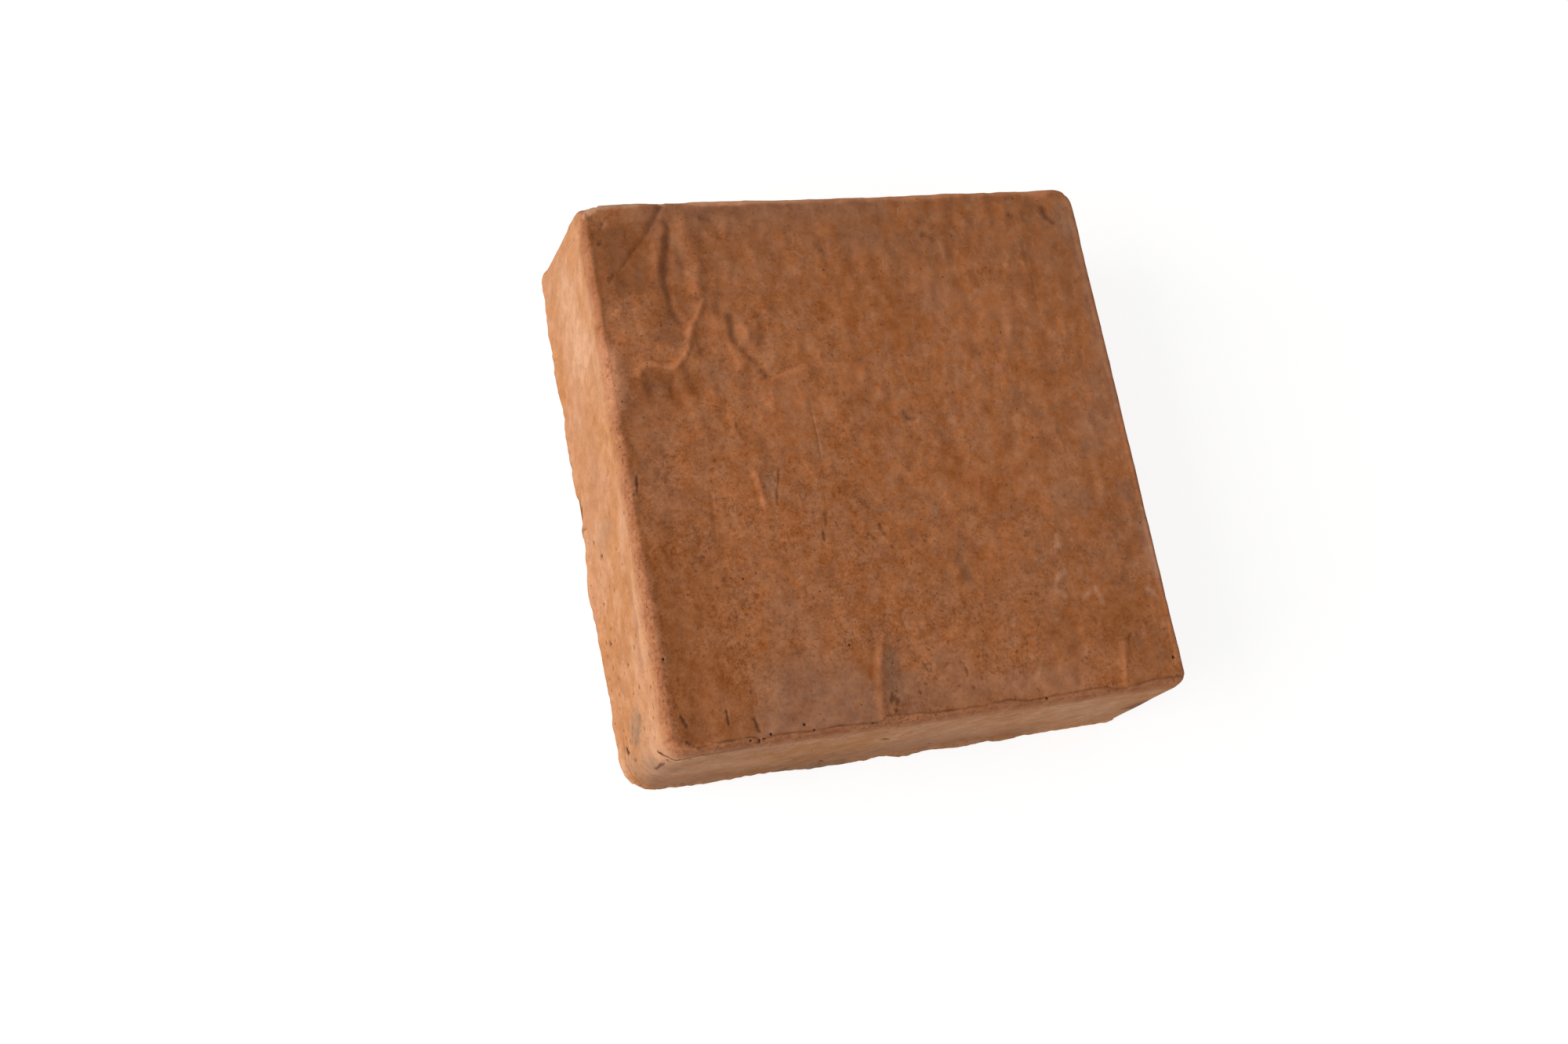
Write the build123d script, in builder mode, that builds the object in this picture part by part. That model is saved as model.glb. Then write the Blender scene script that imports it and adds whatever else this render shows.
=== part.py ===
from build123d import *
from math import atan, ceil, degrees, exp
import os

# Concrete paving block, 200 x 200 x 60 mm nominal, with a riven top face.
# It is cast face down in a tapered mould, so its four sides lean in towards the top and its
# corners are cones. The top face has the swells and dips of split slate, and rolls over into
# the sides. It lies on its flat back: the origin is the middle of the back, +Z is up.
# All sizes are millimetres.

# Driving dimensions
block_width = 199.0        # along X, at the base
block_length = 201.0       # along Y, at the base
block_height = 60.0        # from the back to the mean level of the riven face
side_draft = 2.4           # how far each side leans in over that height
corner_radius = 9.0        # of the upright corners, at the base
arris_radius = 3.0         # roll between the riven face and the sides
base_radius = 1.0          # softened edge round the back

# Riven face: unit of its swells, and the grid its surface is drawn through
swell_reach = 10.0
swell_height = 1.0
grid_spacing = 6.0
grid_overhang = 9.0        # how far the surface runs past the block's base on each side
headroom = 8.0             # stock above the mean level, which the riven face cuts away

# Each swell is its place across and along the face, from -1 to 1, then its reach across and
# along in units of swell_reach, then its rise in units of swell_height
swells = [
    (-0.64, 0.82, 0.9, 2.2, 1.1),       # band in the far left corner
    (-0.66, 0.46, 1.3, 1.2, 1.2),       # curled ridge
    (-0.80, 0.26, 1.1, 1.0, -0.9),      # hollow under the curl
    (-0.25, 0.36, 2.4, 1.0, 0.8),       # arc left of the middle
    (0.10, 0.08, 1.6, 1.4, -0.7),       # hook-shaped hollow by the middle
    (0.62, 0.55, 2.0, 2.4, 0.8),        # step in the far right quarter
    (-0.48, -0.14, 1.0, 1.8, 0.7),      # left ridge
    (0.24, -0.45, 1.0, 2.0, -0.8),      # long streak
    (0.62, -0.55, 2.2, 1.6, -0.6),      # dip in the near right quarter
    (-0.24, -0.82, 1.0, 1.8, 0.9),      # near ridge
    (-0.12, -0.84, 0.9, 1.4, -1.1),     # hollow beside it
    (0.76, -0.90, 0.8, 1.2, 0.8),       # ridge in the near right corner
    (-0.80, -0.80, 2.0, 2.0, -0.5),     # low near left corner
    (-1.00, 0.34, 0.7, 1.1, -2.0),      # chipped stretch of the left arris
    (-1.00, -0.08, 0.6, 0.9, -0.8),     # shallow chip further along it
    (-1.00, -1.00, 1.2, 1.2, -1.6),     # worn near left corner
    (-0.70, -1.00, 1.0, 0.6, -0.9),     # waves of the near arris
    (0.03, -1.00, 0.8, 0.6, -1.0),
    (0.45, -1.00, 1.6, 0.6, -0.6),
]

# Derived sizes
half_width = block_width / 2
half_length = block_length / 2
face_half_width = half_width - side_draft
face_half_length = half_length - side_draft
draft_angle = degrees(atan(side_draft / block_height))


# Level of the riven face over a point of the plan
def riven_level(x, y):
    level = block_height
    for across, along, reach_x, reach_y, rise in swells:
        steps_x = (x - across * face_half_width) / (reach_x * swell_reach)
        steps_y = (y - along * face_half_length) / (reach_y * swell_reach)
        level += rise * swell_height * exp(-(steps_x**2) - steps_y**2)
    return level


# Evenly spaced stations from one overhang to the other
def stations(half_size):
    reach = half_size + grid_overhang
    count = ceil(2 * reach / grid_spacing)
    return [reach * (2 * step / count - 1) for step in range(count + 1)]


riven_points = [
    [(x, y, riven_level(x, y)) for y in stations(half_length)]
    for x in stations(half_width)
]
riven_surface = Face.make_surface_from_array_of_points(riven_points)

with BuildPart() as paving_block:
    # Tapered stock, a little taller than the block
    with BuildSketch(Plane.XY):
        RectangleRounded(block_width, block_length, corner_radius)
    extrude(amount=block_height + headroom, taper=draft_angle)

    # The riven face cuts away what stands above it
    extrude(riven_surface, amount=2 * headroom, dir=(0, 0, 1), mode=Mode.SUBTRACT)

    # Rolled arris round the top, softened edge round the back
    fillet(paving_block.faces().sort_by(Axis.Z)[-1].edges(), arris_radius)
    fillet(paving_block.faces().sort_by(Axis.Z)[0].edges(), base_radius)

paving_block.part.label = "paving_block"

os.makedirs("parts", exist_ok=True)
export_step(paving_block.part, "parts/paving_block.step")
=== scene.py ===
# Cast concrete paving block with a riven face, on a pale studio floor
import bmesh
import bpy
import math
from functools import partial
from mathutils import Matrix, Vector, bvhtree, kdtree, noise


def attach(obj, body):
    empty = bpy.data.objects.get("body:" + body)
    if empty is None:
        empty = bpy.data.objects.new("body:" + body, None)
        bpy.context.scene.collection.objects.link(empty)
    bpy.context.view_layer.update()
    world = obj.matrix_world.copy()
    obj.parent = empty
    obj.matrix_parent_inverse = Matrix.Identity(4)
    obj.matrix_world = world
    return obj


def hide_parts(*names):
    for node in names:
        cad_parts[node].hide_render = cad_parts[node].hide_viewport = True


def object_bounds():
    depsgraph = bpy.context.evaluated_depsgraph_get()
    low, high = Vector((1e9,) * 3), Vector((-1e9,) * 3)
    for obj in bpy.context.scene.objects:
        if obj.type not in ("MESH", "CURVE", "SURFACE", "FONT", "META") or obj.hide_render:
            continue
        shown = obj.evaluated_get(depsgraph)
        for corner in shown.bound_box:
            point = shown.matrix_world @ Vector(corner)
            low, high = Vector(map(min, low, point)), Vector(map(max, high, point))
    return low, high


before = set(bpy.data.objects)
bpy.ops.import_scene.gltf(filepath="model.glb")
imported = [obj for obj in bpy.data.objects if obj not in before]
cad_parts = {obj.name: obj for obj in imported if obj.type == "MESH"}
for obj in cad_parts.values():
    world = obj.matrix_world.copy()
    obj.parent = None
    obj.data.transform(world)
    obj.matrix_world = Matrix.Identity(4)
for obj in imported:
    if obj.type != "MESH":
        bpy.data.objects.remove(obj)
cadLow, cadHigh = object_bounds()
millimetre = 0.001
noise.seed_set(1)    # so that the marks come out the same on each run

# Camera: the photograph's place, turn and lens
cameraSet = {
    "place": (-0.25061, -0.17540, 0.61994),    # metres
    "turn": (17.4006, -17.4240, -11.0557),     # degrees about X, Y and Z
    "lens": 41.325,
    "shift": (-0.0036, 0.0083),
}


def addObject(name, data):
    made = bpy.data.objects.new(name, data)
    bpy.context.scene.collection.objects.link(made)
    return made


def makeCamera():
    data = bpy.data.cameras.new("studioCamera")
    data.lens = cameraSet["lens"]
    data.sensor_width = 36.0
    data.shift_x, data.shift_y = cameraSet["shift"]
    data.clip_start = 0.01
    camera = addObject("studioCamera", data)
    camera.location = cameraSet["place"]
    camera.rotation_euler = [math.radians(angle) for angle in cameraSet["turn"]]
    bpy.context.scene.camera = camera


makeCamera()
print("camera made")

# The block's own form, in millimetres. Its plan size comes from the frame.
blockSet = {
    "columns": 214,          # faces across each long side
    "fineColumns": 14,       # of them, how many stand close together at each arris
    "fineSpacing": 0.36,
    "draft": 2.4,            # how far the sides lean in
    "rollIn": 2.3,           # how far the rolled arris reaches in over the face
    "rollDown": 6.5,         # how far it reaches down the side
    "rollLoss": 0.45,        # share of the roll that is missing at the right and far edges
    "lossRight": (30, 90),   # it sets in between these places of X, to the right,
    "lossFar": (55, 95),     # and of Y, to the far side,
    "lossFromLeft": (-92, -60),    # but for the far left corner
    "rollFullness": 2.0,     # 1 is a flat bevel, 2 a full round
    "baseRadius": 1.0,
    "backRing": 0.96,        # size of the plain ring on the back, as a share of the outline
    "meanLevel": 60.0,       # of the riven face
    "levelInset": 3.6,       # levels are read at least this far inside the outline
    "levelReach": 3.0,       # and averaged over this much
    "rimStep": 0.5,          # the riven face lies this much lower than its rim
    "rimStepWidth": 1.1,
    "rimLine": 0.3,          # depth of the fine crevice along that step
    "rimLineWidth": 0.45,
    # painted shade darkens that crevice this much
    "rimLineShade": 0.75,
    "lipHeight": 4.3,        # a faint casting line runs round the base at this height
    "lipDepth": 0.35,
    "lipWidth": 0.7,
    "lipSlope": 1.2,         # the lip below that line swells out over this height
    "flatBase": 0.3,         # no relief below this height,
    "levelBase": (1.0, 4.0),    # and none up or down below these
}

# Radius of each upright corner: at the base, and under the arris
cornerRadii = {(-1, -1): (11.0, 6.6), (1, -1): (7.5, 4.5), (-1, 1): (7.0, 3.5), (1, 1): (9.0, 7.8)}

# Heights of the rows of faces up a side, closer together at the base and under the roll
rowHeights = [0.0, 0.15, 0.45, 1.0, 1.9, 2.9, 3.6, 4.2, 4.8, 5.6, 6.8]
rowHeights += [8.4 + 1.74 * row for row in range(24)]
rowHeights += [49.9, 51.2, 52.4, 53.5]

# How far the riven face's border stands in from the outline along each side: place, inset
rimInsets = {
    "left": [(-98, 5.6), (-88, 2.9), (-75, 2.0), (-57, 2.6), (-31, 1.9), (-18, 1.0), (-6, 2.8), (-2, 1.8),
             (11, 1.8), (24, 2.7), (40, 3.7), (51, -0.3), (61, 0.9), (98, 1.6)],
    "right": [(-98, 2.4), (-70, 1.2), (40, 1.6), (98, 1.8)],
    "near": [(-98, 5.6), (-92, 4.2), (-87, 1.2), (-80, 2.1), (-69, 2.5), (-65.7, 0.6), (-60, 2.0), (-47, 1.4),
             (-39, 1.9), (-23.7, 1.0), (-20, 3.0), (0, 2.0), (14, 1.9), (25, 2.5), (35.5, 1.3), (45, 2.0),
             (62, 2.4), (68, 0.8), (85, 2.6), (98, 2.2)],
    "far": [(-98, 3.0), (-80, 1.0), (-45, 2.6), (-5, 1.4), (40, 2.4), (70, 1.6), (98, 2.0)],
}

# Strength of the crevice line along each border, in depth and in painted shade, and how many times wider the
# step down is there
borderLines = {"left": 0.15, "right": 0.3, "near": 1.0, "far": 0.1}
borderSpreads = {"left": 3.5, "right": 2.0, "near": 1.0, "far": 2.0}

# How far the lip at the base stands out along each side: place, distance
lipOuts = {
    "left": [(-93, 0.4), (-77, 0.8), (-70, 0.2), (-58, 0.8), (-43, 1.0), (-27, 2.0), (-18, 1.1), (-9, 0.1),
             (-4, 1.1), (4, -0.3), (13, 0.7), (34, 0.8), (41, 0.2), (50, 1.0), (70, 1.0), (94, 0.4)],
    "right": [(-98, 0.3), (98, 0.3)],
    "near": [(-93, 0.1), (-72, 0.7), (-48, 0.1), (-27, 1.0), (-9, 0.9), (-3, 0.1), (6, 1.5), (18, 0.6),
             (30, 1.3), (40, 0.6), (48, 1.2), (58, 0.4), (92, 0.2)],
    "far": [(-98, 0.3), (98, 0.3)],
}


def smoothStep(low, high, value):
    share = min(1.0, max(0.0, (value - low) / (high - low)))
    return share * share * (3.0 - 2.0 * share)


def clamp(value, limit):
    return max(-limit, min(limit, value))


def alongTable(table, place):
    for (start, first), (end, last) in zip(table, table[1:]):
        if place <= end:
            return first + (last - first) * smoothStep(start, end, place)
    return table[-1][1]


# Strokes: marks laid on one side of the block along a path, in that side's own two millimetre
# coordinates (x, y on the face; y, z on the left; x, z on the near side), or round an edge in all
# three. Width is from the middle of the mark to its edge. Rise moves the surface; the named
# layers colour it.
strokes = []
sideAxes = {"face": (0, 1), "left": (1, 2), "right": (1, 2), "near": (0, 2), "far": (0, 2), "edge": (0, 1, 2)}


def roundedPath(points):
    for _ in range(2):
        if len(points) < 3:
            return points
        cut = [points[0]]
        for first, second in zip(points, points[1:]):
            cut.append(tuple(0.75 * a + 0.25 * b for a, b in zip(first, second)))
            cut.append(tuple(0.25 * a + 0.75 * b for a, b in zip(first, second)))
        points = cut + [points[-1]]
    return points


def stroke(side, width, *path, rise=0.0, soft=1.0, taper=0.25, **layers):
    path = [Vector(point) for point in roundedPath(list(path))]
    strokes.append({"side": side, "width": width, "path": path, "rise": rise, "soft": soft, "taper": taper,
                    "layers": layers})


# Strokes of one kind on the face: each row has the width, a value for each name, and the path
def strokeRows(names, rows):
    for width, *rest in rows:
        stroke("face", width, *rest[len(names):], **dict(zip(names, rest)))


onFace = partial(stroke, "face")
onLeft = partial(stroke, "left")
onNear = partial(stroke, "near")
onEdge = partial(stroke, "edge")

# Grooves, nicks and hollows of the face, darkened with painted shade: width, rise, dark, path
strokeRows(["rise", "dark"], [
    (2.6, -0.45, 0.22, (-69.3, 35), (-66.5, 24)), (1.7, -0.4, 0.35, (-63.4, 47.5), (-62.5, 38)),
    (3.6, -0.4, 0.25, (-56.5, 58), (-52, 53)), (3.6, -0.4, 0.2, (-54, 86), (-53, 66)),
    (1.5, -0.7, 0.5, (-66.5, 98), (-68.4, 94), (-71.8, 89), (-76.4, 83), (-80, 78.6)),
    (1.1, -0.3, 0.3, (-79, 80), (-83.6, 74.4), (-87.6, 70.6)),
    (1.2, -0.4, 0.5, (-90.8, 67), (-87.6, 71.4)), (1.1, -0.3, 0.5, (-82.2, 84.3), (-80.8, 86.4)),
    (1.2, -0.4, 0.4, (-90.5, 87), (-88.5, 91)), (3, -0.3, 0.25, (-85, 90), (-80, 92.5)),
    (1.4, -0.4, 0.6, (-54.6, 91.5), (-51.6, 90.2)),
    (2.3, -1, 0.52, (-48.6, 55), (-49.6, 46.5), (-48.2, 41)),
    (1.7, -0.6, 0.4, (-48, 41.8), (-44.5, 37), (-41.6, 34)),
    (2.8, -0.5, 0.26, (-38.1, 56), (-37.6, 47), (-39.6, 41)),
    (1.6, -0.6, 0.62, (-42.2, 33.4), (-39.2, 28.2)),
    (0.9, -0.3, 0.35, (-41.6, -3.6), (-43.2, -10), (-45.6, -17.5)),
    (1.3, -0.4, 0.6, (-27.9, -19.5), (-28.9, -26.5)), (1.2, -0.4, 0.6, (-30.3, -28), (-30.5, -32.5)),
    (1, -0.5, 0.7, (-92.3, -2), (-93.4, -9.4)), (1.2, -0.25, 0.3, (-85, -4), (-80.5, -4.8)),
    (0.9, -0.15, 0.2, (-67.6, -9), (-68.4, -21)),
    (1.5, -0.6, 0.5, (8.4, 13.4), (9.2, 11.2), (11.2, 9.9), (14, 9.9)),
    (1.6, -0.4, 0.45, (-17, -15.8), (-14.4, -17.8), (-12.2, -20.8), (-10.4, -22.2)),
    (1.2, -0.3, 0.35, (5, -33.2), (10.4, -34)), (0.8, -0.2, 0.5, (-14.4, -30.8), (-12.1, -31.6)),
    (0.8, -0.2, 0.45, (-3.7, -77.2), (-2, -81.8)),
    (0.8, -0.25, 0.5, (11.4, -81.2), (12.3, -83.2), (12, -85.2)),
    (0.8, -0.2, 0.4, (9.6, -79.4), (12, -80.8)), (0.8, -0.2, 0.4, (3.4, -81.2), (6.4, -79)),
    (0.8, -0.2, 0.5, (-7.1, -87), (-6.1, -88.8)), (0.8, -0.2, 0.45, (17, -85.2), (17.5, -87.1)),
    (0.8, -0.2, 0.4, (13, -88.4), (14, -89.6)), (1.1, -0.3, 0.35, (-9.2, -27), (-7.2, -33)),
    (1.2, -0.3, 0.5, (-17.4, -92.8), (-15.1, -93.6)), (1.6, -0.2, 0.15, (76.3, -86), (75, -94)),
    (0.9, -0.3, 0.4, (76, -80.5), (79, -76.5)),
    (2.4, -0.6, 0.72, (82.6, 91.4), (83.6, 88.4), (84.6, 85), (87.2, 81.4)),
    (1.4, -0.35, 0.3, (84.8, 75.5), (85.8, 71.8)), (1.6, -0.5, 0.7, (67.6, 88), (69.8, 86.2)),
    (1.8, -0.3, 0.3, (73.6, 90), (74.6, 83)), (1.8, -0.45, 0.5, (30, 81), (33.5, 80.6), (36.4, 77.8)),
    (1.2, -0.12, 0.1, (61, 66.6), (71.5, 68), (72, 60), (71.2, 46)),
    (1.2, -0.2, 0.4, (65.2, -69.6), (66, -72.8)),
    (0.75, -0.25, 0.8, (-75.8, -84.6), (-75.8, -87.7), (-75.6, -90.8))])

# Ridges of the face, lighter on top with a painted highlight: width, rise, lightness of the top, path
strokeRows(["rise", "wear"], [
    (3.4, 1.1, 0.55, (-67.8, 91), (-69.8, 84), (-72.6, 76), (-74, 67)),
    (1.6, 0.3, 0.25, (-91, 47.4), (-87, 45.5)), (2.2, 0.4, 0.6, (-91, 57.5), (-88.5, 54.5)),
    (2.8, 0.8, 0.4, (-45, 51), (-44.2, 41.5)), (1.3, 0.3, 0.4, (-39.3, 27), (-39.9, 15)),
    (3, 0.3, 0.3, (-6.5, 33), (-3, 27)), (1, 0.25, 0.45, (-56.8, 18.3), (-55, 10), (-52.5, 1.1)),
    (2.4, 0.35, 0.25, (59, 47.4), (57.3, 39.7), (52.3, 31.1), (48.4, 22)),
    (3, 0.3, 0.3, (58, 46), (56, 38)), (2.6, 0.35, 0.4, (80.3, 45), (79.8, 35))])

# Darker marks and zones of the face: width, dark, path
strokeRows(["dark"], [
    (6, 0.26, (-79, 93), (-76.5, 80)), (6, 0.22, (-84, 80), (-82, 62)), (3, 0.14, (-19, -12), (-15, -17)),
    (5, 0.25, (-90, -84), (-83, -92)), (6, 0.2, (-92, -58), (-88, -76)), (14, 0.1, (-48, 74), (-8, 72)),
    (12, 0.19, (58, 78), (78, 68)), (6, 0.14, (-70, -70), (-67, -84)), (3, 0.14, (-33, -54), (-34, -76)),
    (3, 0.16, (-7, -70), (-7, -80)), (12, 0.11, (44, -48), (84, -52)), (8, 0.16, (62, -76), (76, -84)),
    (3, 0.25, (-52, 94), (-40, 93.6), (-28, 94)), (1.6, 0.2, (-68.6, -8), (-69.2, -20), (-70, -36)),
    (12, 0.26, (14, 70), (30, 78)), (9, 0.15, (-20, 86), (-8, 84)), (8, 0.17, (-45, 82), (-38, 68)),
    (8, 0.17, (49, 10), (60, 19)), (6, 0.15, (-27, 17), (-22, 21)), (7, 0.18, (39, -45), (50, -52)),
    (6, 0.2, (84, -30), (87, -54)), (9, 0.2, (50, -64), (56, -84)), (8, 0.16, (-36, -50), (-33, -72)),
    (5, 0.18, (84, 16), (88, 26)), (4, 0.2, (58, 12), (62, 6)), (2, 0.45, (-90.2, -88), (-89, -95))])

# Lighter marks and zones: width, lightness, path
strokeRows(["wear"], [
    (2.2, 0.4, (80.6, 94.4), (82.4, 93.2)), (20, 0.13, (-34, 24), (-12, 16)),
    (7, 0.2, (-44, 30), (-42, 0)), (6, 0.16, (64, 56), (57, 40)), (9, 0.14, (26, 66), (24, 54)),
    (7, 0.25, (38, 20), (44, 14)), (6, 0.16, (42, 2), (44, -8), (52, -24)),
    (3.4, 0.2, (14, -8), (18, -26), (19, -48)), (9, 0.1, (-48, -54), (-44, -68)),
    (10, 0.14, (4, -66), (14, -86)), (5, 0.14, (44, -70), (56, -60)),
    (2, 0.25, (-66, -12), (-65.6, -26), (-66.4, -42)), (6, 0.4, (-8, 34), (-7, 20)),
    (5, 0.14, (28, -82), (34, -76)), (4, 0.4, (-42.5, 57), (-42.5, 45)), (5, 0.3, (27, -11), (35, -21)),
    (5, 0.28, (-40, 9), (-37, -4)), (4, 0.25, (-16, 20), (-19, 6))])

# Pale strokes on the right half: width, pale, path
strokeRows(["pale"], [
    (2, 0.35, (51.4, -69.6), (49.2, -65.4)), (1.6, 0.4, (57.4, -44), (58.4, -37)),
    (1.6, 0.3, (33.4, -65.4), (33, -70.4)), (1.6, 0.3, (39.8, -84), (38, -88.4)),
    (1.6, 0.3, (60.2, -79), (57.2, -85.8)), (1.4, 0.25, (28.2, -81.4), (28.4, -87)),
    (1.4, 0.52, (68.2, -58.6), (69.2, -62), (70.8, -66.6)), (1.4, 0.5, (66.6, -59.2), (62.4, -63.6)),
    (1.4, 0.35, (66, -54.4), (66.8, -57.4)), (1.6, 0.3, (78.4, -44), (80.6, -47)),
    (1.8, 0.25, (74.6, -40.6), (79, -40)), (1.6, 0.3, (46.4, -44.4), (49.8, -48)),
    (1.8, 0.25, (84, -76), (82, -80)), (2.2, 0.25, (71, -54), (70.4, -48)),
    (2.8, 0.5, (88.4, -60.6), (92.2, -65.4)), (1.6, 0.25, (93, -72), (91.5, -78)),
    (2.2, 0.15, (38, -42), (40, -45))])

# Grey lime bloom: width, bloom, path
strokeRows(["bloom"], [
    (10, 0.4, (-4, 82), (18, 80)), (6, 0.6, (-72, 96), (-70, 82)), (9, 0.2, (-92, 46), (-88, 10)),
    (7, 0.5, (88, 24), (92, 0)), (9, 0.5, (58, -22), (78, -28)), (9, 0.6, (76, -2), (84, -10)),
    (6, 0.7, (89, -20), (90, -30)), (9, 0.6, (76, 0), (92, 6)), (6, 0.5, (-45, -58), (-40, -66)),
    (11, 0.75, (2, -74), (10, -86)), (8, 0.5, (-84, 14), (-80, 4)), (12, 0.5, (-52, -62), (-44, -50)),
    (10, 0.45, (-61, 38), (-58, 26)), (10, 0.45, (28, 62), (30, 48)), (9, 0.3, (-92, 6), (-80, -18))])

# Rust: width, rust, path
strokeRows(["rust"], [
    (3.4, 0.7, (-52, -6), (-52, -16)), (3, 1, (-21.6, -70), (-23.6, -84)), (5, 0.4, (-50, -4), (-52, -16)),
    (6, 0.5, (0, -30), (6, -42)), (6, 0.5, (68, 54), (86, 46)), (6, 0.5, (82, -10), (88, -18)),
    (16, 0.75, (12, 64), (12, 40)), (8, 0.9, (-8, 38), (-8, 20)), (12, 0.8, (18, -4), (42, -28)),
    (10, 0.3, (14, -34), (32, -52)), (8, 0.4, (-60, 48), (-62, 36)), (2, 0.5, (-10.5, -58), (-11.5, -70)),
    (12, 0.35, (40, -76), (60, -80)), (18, 0.4, (-26, 60), (12, 56))])

# Ridges with their own fade at the ends, lighter on top with a painted highlight: width, rise, lightness of
# the top, taper, path
strokeRows(["rise", "wear", "taper"], [
    (1.8, 1.05, 0.85, 0.1, (-87, 33), (-83, 36.9), (-79.6, 36.1), (-73.9, 34.2), (-70.3, 36.9),
     (-67.4, 41.1), (-65.3, 46.9), (-62.4, 52.6), (-57.6, 60)),
    (4.8, 0.6, 0.4, 0.2, (-61, 92), (-60, 78), (-59.5, 60)),
    (2, 0.7, 0.45, 0.3, (-38.5, 28), (-35.4, 29), (-31, 30.4), (-26.8, 31.5), (-17, 32.4), (-6, 31.4)),
    (1.8, 0.8, 0.9, 0.18, (-51, -4.2), (-50.6, -10.3), (-49.3, -18.4)),
    (2, 0.6, 0.5, 0.12, (-15.6, -65), (-18.7, -73.1), (-20.4, -81.7), (-22.1, -90.3), (-22.4, -96.5)),
    (1.6, 0.5, 0.55, 0.15, (74.4, -79), (72.8, -86), (70.8, -97))])

# Dark zones with their own fade: width, dark, taper, path
strokeRows(["dark", "taper"], [
    (24, 0.08, 0, (-90, 95), (-88, 0), (-88, -95)), (16, 0.1, 0.1, (-58, -96), (-20, -94), (20, -98)),
    (6, 0.27, 0.1, (-85, -14), (-87, -50), (-87, -94)), (8, 0.3, 0.15, (-92, 46), (-89, 14)),
    (36, 0.13, 0, (-92, 82), (90, 82)), (18, 0.11, 0, (82, -32), (80, -90))])

# Grooves with their own fade, darkened with painted shade: width, rise, dark, taper, path
strokeRows(["rise", "dark", "taper"], [
    (2.3, -1.1, 0.52, 0.2, (-66.2, 89), (-67, 83), (-68, 78), (-69.2, 73), (-70.2, 68),
     (-70.4, 61), (-69.3, 54), (-66, 49)),
    (1.5, -0.8, 0.85, 0.3, (-92.5, 81.3), (-90.3, 83.4)),
    (2.2, -0.7, 0.45, 0.2, (-90, 27.5), (-91.3, 23.3)),
    (0.7, -0.15, 0.2, 0.4, (-26, 19), (-25.7, 6), (-25.5, -7))])

# Marks of the face with a mixture of settings, from the far left to the near right. Where they cut in, their
# dark is painted shade, as in the hollow under the curl.
onFace(6, (-85, 30), (-70, 29), rise=-0.9, dark=0.42, rust=0.6, taper=0.3)
onFace(3.6, (-63.4, 88), (-64.4, 66), dark=0.24, bloom=0.4)
onFace(5, (-76, 98), (-52, 98), rise=-0.5, taper=0.35)
onFace(5, (-36, 98), (0, 98), (44, 98), rise=-0.5, taper=0.3)
onFace(5, (46, 98), (84, 98), rise=-0.35)
onFace(1.3, (-59.6, 27.5), (-57.9, 25), dark=0.35, rust=0.6)
onFace(1.2, (-56.8, 24), (-56.3, 20.5), rust=0.9, dark=0.25)
onFace(4.2, (-46.5, -5), (-45.5, -15), rise=-0.15, smear=0.3, taper=0.3)
onFace(0.8, (14.5, 11), (21, 13.2), (33, 15), rise=-0.1, rust=0.5)
onFace(1.2, (-11, -21.7), (-7, -23.1), (-2.4, -22.8), rise=-0.15, smear=0.4)
onFace(2.4, (13, -22), (12, -29), smear=0.3)
onFace(2.6, (21, -35), (19.4, -40), (19.4, -46), (20.6, -50), (24, -52.6), rise=-0.25, smear=0.3,
       dark=0.14, taper=0.3)
onFace(6, (-14, -71), (-14.6, -90), rise=-0.4, smear=0.36, dark=0.14, taper=0.2)
onFace(2.2, (-18, -88.2), (-14.4, -90.6), rise=-0.5, dark=0.7, soft=0.5, taper=0.15)
onFace(2.4, (89.2, 77.6), (90.6, 75.4), dark=0.16, smear=0.3)
onFace(1.2, (86.5, 81), (87.6, 74.6), rise=0.2, pale=0.15)
onFace(7, (91, 94), (91.5, 76), smear=0.26, pale=0.12)
onFace(5, (94, 84), (94.5, 45), (95, 5), bloom=0.8, taper=0.1)
onFace(5, (94.5, -30), (95, -62), bloom=0.8, pale=0.25)

# Zones of colour on the face with a mixture of settings
onFace(1.8, (59.4, -51.4), (54.6, -54.2), (52.4, -57.4), (53.4, -59.4), (57, -61.4), rise=0.2, pale=0.48,
       taper=0.15)
onFace(4, (53.4, -72.6), (57.4, -68.8), rust=0.9, dark=0.12, soft=0.6)
onFace(22, (-86, 90), (-80, 62), dark=0.4, rust=0.3, soft=0.9, taper=0.1)
onFace(16, (-70, 94), (0, 96), (84, 94), dark=0.15, soft=0.9, taper=0)
onFace(13, (-80, 97), (-30, 96), (20, 96), bloom=0.6, soft=0.9, taper=0.1)
# Painted shade along the far-left groove and in the hollow under the curl
onFace(11, (-70, 92), (-69, 62), (-74, 42), dark=0.4, rust=0.2, taper=0.1)
onFace(11, (-90, 27), (-80, 30), (-64, 30), dark=0.32, rust=0.5, taper=0.2)
onFace(11, (-59, 56), (-54, 44), (-46, 34), wear=0.3, taper=0.2)
onFace(20, (-4, -92), (70, -92), wear=0.14, taper=0.1)
onFace(5, (78, 60), (74, 42), dark=0.1, rust=0.3)
onFace(11, (-88, -82), (-84, -97), dark=0.36, rust=0.5)
onFace(7, (-102, 92), (-97, 97), (-92, 101), rise=-1.3, taper=0.1)
onFace(14, (-80.5, -99), (-79, -76), rust=0.75, soft=0.3, taper=0)
onFace(8, (-90, -22), (-90, -48), (-89, -70), (-89, -94), rust=0.75, dark=0.1, soft=0.9)
onFace(5.5, (-83, -98), (-81, -84), (-80, -66), rust=0.7, wear=0.3, soft=0.9, taper=0.2)
onFace(3, (-76, -98), (-75.5, -84), (-75, -62), rust=0.85, dark=0.16, taper=0.3)
onFace(3.4, (-70.5, -98), (-70, -84), (-70.5, -70), rust=0.8, wear=0.12, taper=0.3)
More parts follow.
